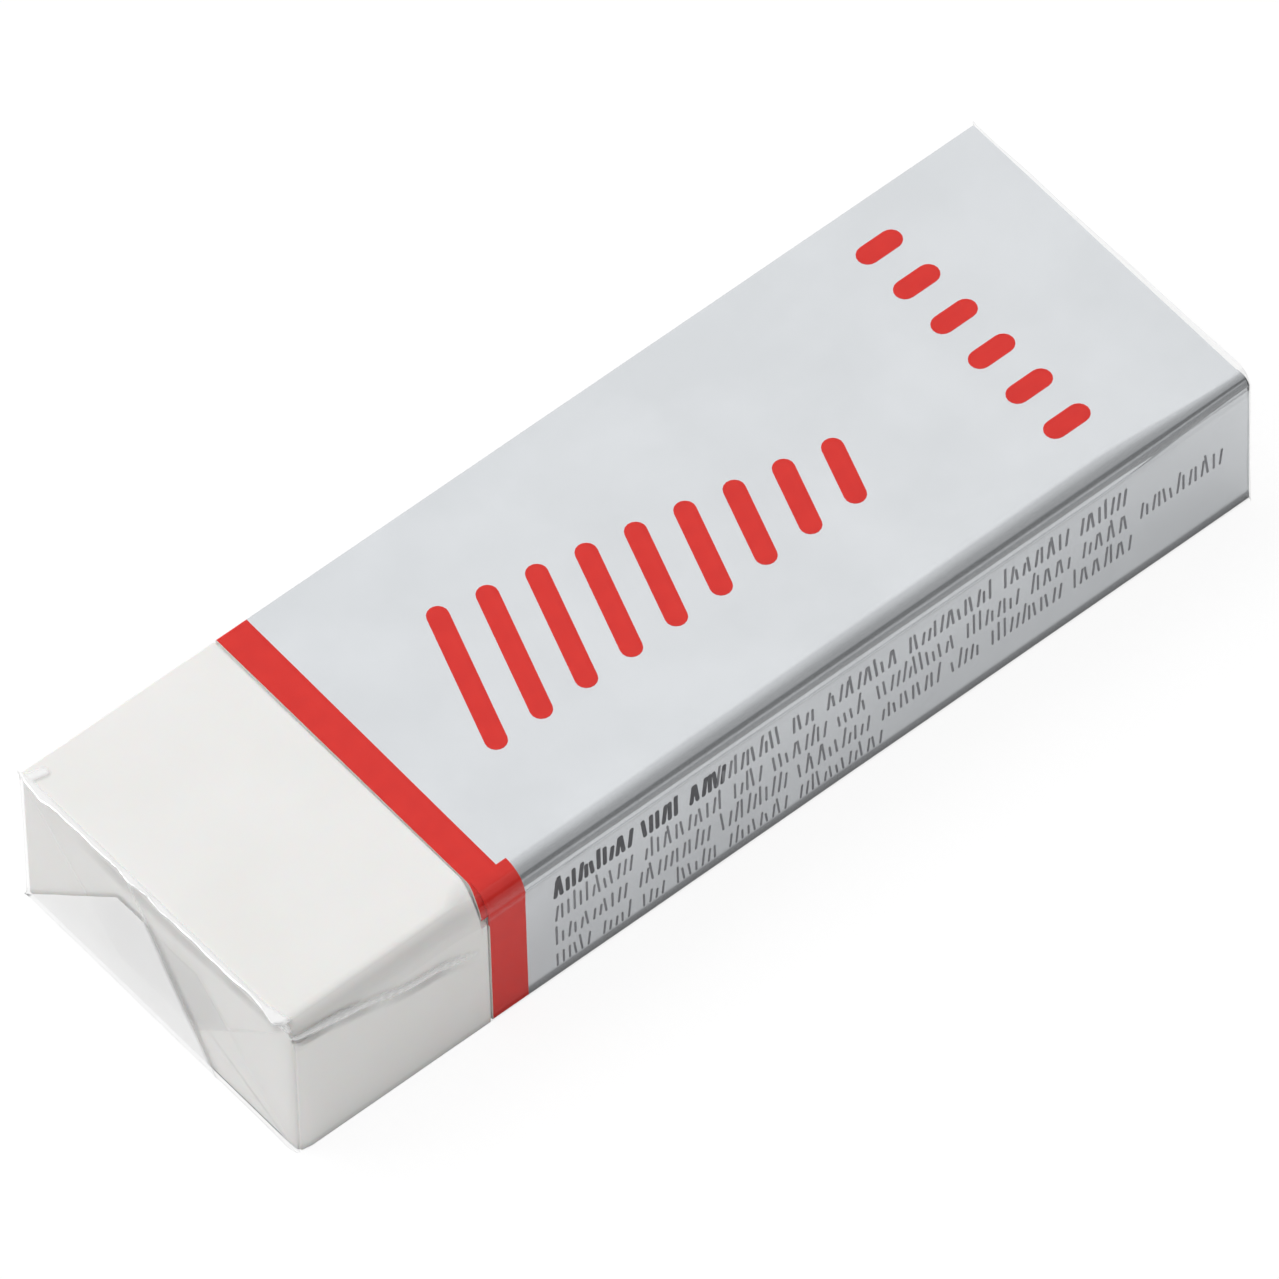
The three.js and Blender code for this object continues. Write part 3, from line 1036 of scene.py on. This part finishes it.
def film_tube():
    stations = lapped_stations(
        FILM_LAP_DROP, FILM_LAP_STOP, CARD_LAP_LIFT, FILM_LAP_LIFT, CARD_LAP_LIFT, FILM_JOGGLE,
        FILM_SPACING,
    )
    stations = fill_gaps(stations, spacing_at_creases)
    plain, beaded = film_columns(), film_columns(BEAD_UP)
    stress, slack, shade = [], [], []

    def corner(row, column, outer):
        station = stations[row]
        x, turned_in = plain[column]
        if on_flat_top(station) and x < 0:
            strength = bead_strength(station.y)
            bead_x, bead_in = beaded[column]
            out = BEAD_OUT * (1 - between(x - WRAP_LEFT, 0, BEAD_LENGTH_BELOW))
            x += strength * (bead_x - x - out)
            turned_in += strength * (bead_in - turned_in)
        distance = FILM_OFFSET + station.lift + outer * FILM_THICKNESS - turned_in
        distance += film_ripple(x, station) + CREASE_LINE_HEIGHT * crease_line(x, station.run)
        if on_flat_top(station):
            distance += EAR_HEIGHT * ear(x, station.y)
        point = sheet_point(station, x, distance)
        stress.append(tube_stress(*point, station))
        slack.append(tube_slack(x, station.y, station))
        shade.append(crease_shade(x, station.run))
        return settled(point, film_edge_taken)

    points, faces, skin = grid_shell(len(stations), len(plain), corner)
    cells = len(plain) - 1
    middle = len(stations) // 2
    lapped = [row > middle and s.lift > CARD_LAP_LIFT for row, s in enumerate(stations)]
    finish = [int(i < skin and lapped[i // 2 // cells]) for i in range(len(faces))]
    tube = make_piece("film_tube", points, faces, [FILM, LAP_SHADE_FILM], finish)
    mark(tube, stress=stress, slack=slack, shade=shade)
    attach(tube, "film")
    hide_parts("film_wrap")


# Folds that close the film's ends

FILM_TOP = BLOCK_TOP + PLAIN_STACK
FOLD_STEPS = 54
FOLD_COLUMNS = 110
FINER_BY_CREASE = 1.2
CORNER_ARC_STEPS = 10
HALF_TIP = 0.25  # a tuck's tip isn't quite a point
FOLD_LAYERS = {"near_tuck": 2, "far_tuck": 2, "top_flap": 1, "bottom_flap": 0}
WAVE = 0.05

# The wrinkle that runs down the bare end's folds: heights, and where it is across the end
WRINKLE = ((0, -4.6), (1.5, -3.75), (8.7, 1.15), (11.5, 3.1))
WRINKLE_HALF_WIDTH = 0.2
WRINKLE_HEIGHT = 0.05
WRINKLE_WHITE = 0.3

# The bare end's lower flap is looser beyond the wrinkle, where it is hazy and shines more
LOWER_FLAP_START = (-0.1, 0.6)  # from the wrinkle
LOWER_FLAP_HAZE = 0.1
LOWER_FLAP_SLACK = 0.62  # high up
LOWER_FLAP_SLACK_AT_FOOT = 0.72

# Painted shade below the bead: the film is made less clear there, in place of the bead's shadow
BEAD_SHADE = 0.065
BEAD_SHADE_ALONG = (3, 8)  # where it starts, from the far side
BEAD_SHADE_START = (0.5, 0.75)  # below the crease
BEAD_SHADE_END = (1.2, 1.9)


def past_wrinkle(y, z):
    """How far a point on the bare end lies beyond the wrinkle, towards the far side."""
    for (low, low_y), (high, high_y) in zip(WRINKLE, WRINKLE[1:]):
        if z <= high:
            break
    return y - low_y - (high_y - low_y) * (z - low) / (high - low)


def wrinkle(y, z):
    return 1 - between(abs(past_wrinkle(y, z)) / WRINKLE_HALF_WIDTH, 0, 1)


def corner_arc(start, end):
    """The wrapped eraser's rounded corner, from one angle to another."""
    arc = stations_on_edge(NEAR_TOP._replace(start=start, end=end, steps=CORNER_ARC_STEPS))
    return [(s.y + LAP_STACK * s.out_y, s.z + LAP_STACK * s.out_z) for s in arc]


def spread(points, count):
    """Points at even distances along a line of points."""
    lengths = [0]
    for a, b in zip(points, points[1:]):
        lengths.append(lengths[-1] + gap(a, b))
    spaced = []
    k = 0
    for i in range(count + 1):
        want = lengths[-1] * i / count
        while k < len(points) - 2 and lengths[k + 1] < want:
            k += 1
        share = (want - lengths[k]) / (lengths[k + 1] - lengths[k])
        spaced.append([part_way(a, b, share) for a, b in zip(points[k], points[k + 1])])
    return spaced


def fold_lines():
    """Each fold's crease and its free edge, as points across the end."""
    lower_arc = corner_arc(HALF_TURN, HALF_TURN - EIGHTH_TURN)
    upper_arc = corner_arc(HALF_TURN - EIGHTH_TURN, QUARTER_TURN)
    corner_y, corner_z = lower_arc[-1]
    foot = FILM_TOP - FLAP_DEPTH
    tuck_depth = (corner_y + corner_z - FILM_NEAR) / 2
    near_tip = FILM_NEAR + tuck_depth
    middle = FILM_TOP / 2
    far_tip = FILM_FAR - middle
    return {
        "near_tuck": (
            [(FILM_NEAR, 0), *lower_arc],
            [(near_tip, tuck_depth - HALF_TIP), (near_tip, tuck_depth + HALF_TIP)],
        ),
        "far_tuck": (
            [(FILM_FAR, FILM_TOP), (FILM_FAR, 0)],
            [(far_tip, middle + HALF_TIP), (far_tip, middle - HALF_TIP)],
        ),
        "top_flap": (
            [*upper_arc, (FILM_FAR, FILM_TOP)],
            [(corner_y + corner_z - foot, foot), (FILM_FAR - FLAP_DEPTH, foot)],
        ),
        "bottom_flap": (
            [(FILM_FAR, 0), (FILM_NEAR, 0)],
            [(FILM_FAR - FLAP_DEPTH, FLAP_DEPTH), (FILM_NEAR + FLAP_DEPTH, FLAP_DEPTH)],
        ),
    }


# Painted shade below the bead, kept in the film's shade mark
def shade_below_bead(y, down):
    along = within(FILM_FAR - y, BEAD_SHADE_ALONG, BEAD_END)
    uneven = 1 + 0.5 * drift(14, y, 1.5)
    return BEAD_SHADE * uneven * along * within(down, BEAD_SHADE_START, BEAD_SHADE_END)


def end_fold(end_name, side, part, crease, free_edge):
    node = f"{end_name}_{part}"
    outer_x = (WRAP_LEFT if side < 0 else WRAP_RIGHT) - side * FOLD_LAYERS[part] * LAYER_PITCH
    start = spread(crease, FOLD_COLUMNS)
    stop = spread(free_edge, FOLD_COLUMNS)
    bare_end = side < 0
    with_bead = bare_end and part == "top_flap"
    plain, beaded = (
        round_off(CREASE_RADIUS, EIGHTH_TURN, QUARTER_TURN, CREASE_STEPS, bead)
        for bead in (0, BEAD_UP)
    )
    stress, slack, shade = [], [], []

    def corner(row, column, outer):
        a, b = start[column], stop[column]
        full = gap(a, b)
        strength = bead_strength(a[0]) if with_bead else 0
        if row < len(plain):
            inward, down = (part_way(p, q, strength) for p, q in zip(plain[row], beaded[row]))
        else:
            share = ((row - CREASE_STEPS) / (FOLD_STEPS - CREASE_STEPS)) ** FINER_BY_CREASE
            inward, down = 0, part_way(CREASE_RADIUS, full, share)
        y = a[0] + (b[0] - a[0]) * down / full
        z = a[1] + (b[1] - a[1]) * down / full
        wave = WAVE * drift(5 * side, y, 3, z, 2)
        wave += BEAD_OUT * strength * (1 - between(down, 0, BEAD_LENGTH_BELOW))
        creased = max(0, 1 - row / CREASE_STEPS)
        whitened = creased * (1 if with_bead else OTHER_CREASES)
        shine = GATHERED_SHINE * creased * min(1, strength)
        if bare_end:
            wave += WRINKLE_HEIGHT * wrinkle(y, z)
            whitened = max(whitened, WRINKLE_WHITE * wrinkle(y, z))
        if bare_end and part == "bottom_flap":
            beyond = between(past_wrinkle(y, z), *LOWER_FLAP_START)
            low = 1 - between(z, 0, FLAP_DEPTH / 2)
            looser = part_way(LOWER_FLAP_SLACK, LOWER_FLAP_SLACK_AT_FOOT, low)
            shine = max(shine, beyond * looser)
            whitened = max(whitened, LOWER_FLAP_HAZE * beyond)
        stress.append(whitened)
        slack.append(shine)
        shade.append(shade_below_bead(a[0], down) if with_bead else 0)
        x = outer_x - side * (inward + (1 - outer) * FILM_THICKNESS) + side * wave
        return settled((x, y, z), film_edge_taken)

    points, faces, _ = grid_shell(FOLD_STEPS + 1, FOLD_COLUMNS + 1, corner)
    if side > 0:
        faces = [tuple(reversed(face)) for face in faces]
    fold = make_piece(f"film_{node}", points, faces, [FOLDED_FILM])
    mark(fold, stress=stress, slack=slack, shade=shade)
    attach(fold, node)
    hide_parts(node)


vinyl_block()
card_sleeve()
ink_layer("red_strokes", red_strokes(), on_top, RED)
ink_layer("red_marks", red_marks(), on_top, RED)
ink_layer("bold_row", tick_rows(BOLD_ROWS, 5), on_near_side, DARK_INK)
ink_layer("fine_rows", tick_rows(FINE_ROWS, 11), on_near_side, PALE_INK)
film_tube()
for end_name, side in (("bare_end", -1), ("sleeve_end", 1)):
    for part, (crease, free_edge) in fold_lines().items():
        end_fold(end_name, side, part, crease, free_edge)

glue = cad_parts["sleeve_glue_line"]
glue.data.materials.clear()
glue.data.materials.append(GLUE)


# Floor, room, sky and lamp

WHITE = (1, 1, 1, 1)

FLOOR_SIZE = 3000
FLOOR_PALENESS = 0.94
FLOOR_GLOW = 1.12  # how bright the part of it that glows is
GLOW_SEEN = 0.85  # how much of the floor glows for the camera
GLOW_MIRRORED = 0.3  # and how much of it in gloss and through film
# Painted contact shadow: the floor is darker in a thin line along the eraser's foot, for every ray but
# the camera's
CONTACT_PALENESS = 0.3
CONTACT_SHADE_IN = 0.08  # from the film's face to the dark line that lies along its foot
CONTACT_SHADE_HALF_WIDTH = 0.3

SKY_LIGHT = 0.55  # on the eraser, where 1 is white

ROOM_RADIUS = 260
ROOM_HEIGHT = 1100
ROOM_ARC = (radians(-160), radians(40))
ROOM_STEPS = 32
ROOM_FADE_UP_FROM = 150
ROOM_FADE_BACK = (-0.34, 0.5)  # of its radius
ROOM_GREYS = ((15, 0.7), (30, 0.18), (105, 0.18), (170, 0.42))  # heights and how pale it is there

DARK_FLOOR = (-300, 300, -260, -16)  # left, right, near and far
DARK_FLOOR_UP = 0.2
DARK_FLOOR_FULL = -45  # where it has reached its full share
DARK_FLOOR_SHARE = 0.5
DARK_FLOOR_GREY = 0.3

LAMP_DIRECTION = (-0.28, 0.466, 0.84)
LAMP_DISTANCE = 700
LAMP_SIZE = 500
LAMP_POWER = 2.45  # watts


def stage_piece(name, points, faces, material, gloss_only=False):
    """Something that stands by the eraser and is no part of it."""
    piece = make_piece(name, points, faces, [material])
    if gloss_only:
        piece.visible_camera = False
        piece.visible_diffuse = False
        piece.visible_shadow = False


def rectangle(left, right, near, far, up):
    return [(left, near, up), (right, near, up), (right, far, up), (left, far, up)]


def floor():
    """Plain and pale. A part of it glows for the camera, so that it comes out white. A painted contact
    shadow, a dark line along the foot of the wrapped eraser, darkens it for every ray but the camera's,
    so the camera doesn't see that line."""
    material, tree = new_material("floor")
    rays = add(tree, "LightPath").outputs
    mirrored = add(tree, "Math", {
        0: rays["Is Glossy Ray"], 1: rays["Is Transmission Ray"],
    }, operation="MAXIMUM")
    mirrored = add(tree, "Math", {0: mirrored, 1: GLOW_MIRRORED}, operation="MULTIPLY")
    glowing = add(tree, "Math", {
        0: rays["Is Camera Ray"], 1: GLOW_SEEN, 2: mirrored,
    }, operation="MULTIPLY_ADD")
    place = add(tree, "TexCoord").outputs["Object"]
    place = add(tree, "VectorMath", {0: place}, operation="ABSOLUTE")
    from_middle = add(tree, "SeparateXYZ", {"Vector": place}).outputs
    across = add(tree, "Math", {
        0: from_middle["Y"], 1: (FILM_FAR - CONTACT_SHADE_IN) * MM,
    }, operation="SUBTRACT")
    beside_line = add(tree, "Math", {0: across}, operation="ABSOLUTE")
    past_end = add(tree, "Math", {0: from_middle["X"], 1: WRAP_RIGHT * MM}, operation="SUBTRACT")
    off_line = add(tree, "Math", {0: beside_line, 1: past_end}, operation="MAXIMUM")
    paleness = add(tree, "MapRange", {
        "Value": off_line, "From Min": CONTACT_SHADE_HALF_WIDTH / 2 * MM,
        "From Max": CONTACT_SHADE_HALF_WIDTH * MM,
        "To Min": CONTACT_PALENESS, "To Max": FLOOR_PALENESS,
    })
    in_view = add(tree, "Math", {0: rays["Is Camera Ray"], 1: FLOOR_PALENESS}, operation="MULTIPLY")
    paleness = add(tree, "Math", {0: paleness, 1: in_view}, operation="MAXIMUM")
    matt = add(tree, "BsdfDiffuse", {"Color": paleness})
    strength = add(tree, "Math", {0: paleness, 1: FLOOR_GLOW}, operation="MULTIPLY")
    glow = add(tree, "Emission", {"Color": WHITE, "Strength": strength})
    mix = add(tree, "MixShader", {"Fac": glowing, 1: matt, 2: glow})
    half = FLOOR_SIZE / 2
    corners = rectangle(-half, half, -half, half, 0)
    stage_piece("floor", corners, [(0, 1, 2, 3)], painted(material, mix))


def sky():
    """Even light from all round, brighter where the camera, gloss or film shows it."""
    world = bpy.data.worlds.new("sky")
    world.use_nodes = True
    tree = world.node_tree
    tree.nodes.clear()
    rays = add(tree, "LightPath").outputs
    seen = rays["Is Camera Ray"]
    for ray in ("Is Glossy Ray", "Is Transmission Ray"):
        seen = add(tree, "Math", {0: seen, 1: rays[ray]}, operation="MAXIMUM")
    strength = add(tree, "MapRange", {"Value": seen, "To Min": SKY_LIGHT, "To Max": 1})
    light = add(tree, "Background", {"Color": WHITE, "Strength": strength})
    add(tree, "OutputWorld", {"Surface": light})
    bpy.context.scene.world = world


def dark_room():
    """The unlit room in front, which only gloss shows: a curved wall that fades upward and
    towards the back, with a dark stripe low down."""
    points = []
    for angle in even_steps(*ROOM_ARC, ROOM_STEPS):
        points += [(ROOM_RADIUS * cos(angle), ROOM_RADIUS * sin(angle), z) for z in (0, ROOM_HEIGHT)]
    faces = [(2 * i, 2 * i + 2, 2 * i + 3, 2 * i + 1) for i in range(ROOM_STEPS)]
    material, tree = new_material("dark_room")
    place = add(tree, "TexCoord").outputs["Object"]
    place = add(tree, "SeparateXYZ", {"Vector": place}).outputs
    fade_up = add(tree, "MapRange", {
        "Value": place["Z"], "From Min": ROOM_FADE_UP_FROM * MM, "From Max": ROOM_HEIGHT * MM,
    }, interpolation_type="SMOOTHSTEP")
    back_from, back_to = (share * ROOM_RADIUS * MM for share in ROOM_FADE_BACK)
    fade_back = add(tree, "MapRange", {
        "Value": place["Y"], "From Min": back_from, "From Max": back_to,
    }, interpolation_type="SMOOTHSTEP")
    fade = add(tree, "Math", {0: fade_up, 1: fade_back}, operation="MAXIMUM")
    share_up = add(tree, "MapRange", {"Value": place["Z"], "From Max": ROOM_HEIGHT * MM})
    stripes = add(tree, "ValToRGB", {"Fac": share_up})
    levels = stripes.color_ramp.elements
    while len(levels) < len(ROOM_GREYS):
        levels.new(0.5)
    for level, (up, grey) in zip(levels, ROOM_GREYS):
        level.position = up / ROOM_HEIGHT
        level.color = (grey, grey, grey, 1)
    dark = add(tree, "Emission", {"Color": stripes})
    clear = add(tree, "BsdfTransparent")
    mix = add(tree, "MixShader", {"Fac": fade, 1: dark, 2: clear})
    stage_piece("dark_room", points, faces, painted(material, mix), gloss_only=True)


def dark_floor():
    """The unlit floor further in front, which only gloss shows."""
    material, tree = new_material("dark_floor")
    place = add(tree, "TexCoord").outputs["Object"]
    across = add(tree, "SeparateXYZ", {"Vector": place}).outputs["Y"]
    share = add(tree, "MapRange", {
        "Value": across, "From Min": DARK_FLOOR[-1] * MM, "From Max": DARK_FLOOR_FULL * MM,
        "To Max": DARK_FLOOR_SHARE,
    }, interpolation_type="SMOOTHSTEP")
    clear = add(tree, "BsdfTransparent")
    dark = add(tree, "Emission", {"Color": (*[DARK_FLOOR_GREY] * 3, 1)})
    mix = add(tree, "MixShader", {"Fac": share, 1: clear, 2: dark})
    corners = rectangle(*DARK_FLOOR, DARK_FLOOR_UP)
    stage_piece("dark_floor", corners, [(0, 1, 2, 3)], painted(material, mix), gloss_only=True)


def soft_lamp():
    data = bpy.data.lights.new("key", "AREA")
    data.shape = "SQUARE"
    data.size = LAMP_SIZE * MM
    data.energy = LAMP_POWER
    lamp = put("key", data)
    toward = Vector(LAMP_DIRECTION).normalized()
    lamp.location = toward * LAMP_DISTANCE * MM
    lamp.rotation_euler = toward.to_track_quat("Z", "Y").to_euler()


floor()
sky()
dark_room()
dark_floor()
soft_lamp()
bpy.context.scene.view_settings.view_transform = "Standard"
